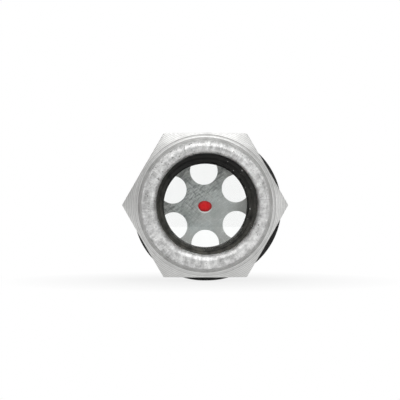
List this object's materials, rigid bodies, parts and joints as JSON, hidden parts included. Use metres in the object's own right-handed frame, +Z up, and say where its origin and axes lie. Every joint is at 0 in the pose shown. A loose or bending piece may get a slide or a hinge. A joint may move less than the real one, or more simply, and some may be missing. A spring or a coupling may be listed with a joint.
{
  "type": "oil sight glass",
  "caption": "Hexagon-headed aluminium oil sight glass with a rolled rim, a glass window between rubber seals, a perforated reflector with a red level dot, a threaded shank and a loose gasket.",
  "frame": {"origin": "where the thread's axis meets the plane of the tank wall, which is the back face of the gasket", "axes": "-Y is the way the glass faces, +Y runs into the tank along the thread's axis, +Z is up, with flats of the hexagon above and below"},
  "size_m": [0.0474, 0.0241, 0.0438],
  "materials": {
    "body": "turned and rolled, satin, worn",
    "seals": "matt black, dusty",
    "glass": "clear, polished",
    "reflector": "zinc-plated sheet, lightly scratched",
    "level_dot": "gloss red enamel",
    "gasket": "matt black"
  },
  "bodies": {
    "root": {"body": "body", "front_seal": "seals", "glass": "glass", "rear_seal": "seals", "reflector": "reflector", "level_dot": "level_dot", "flange_gasket": "gasket"}
  },
  "joints": []
}
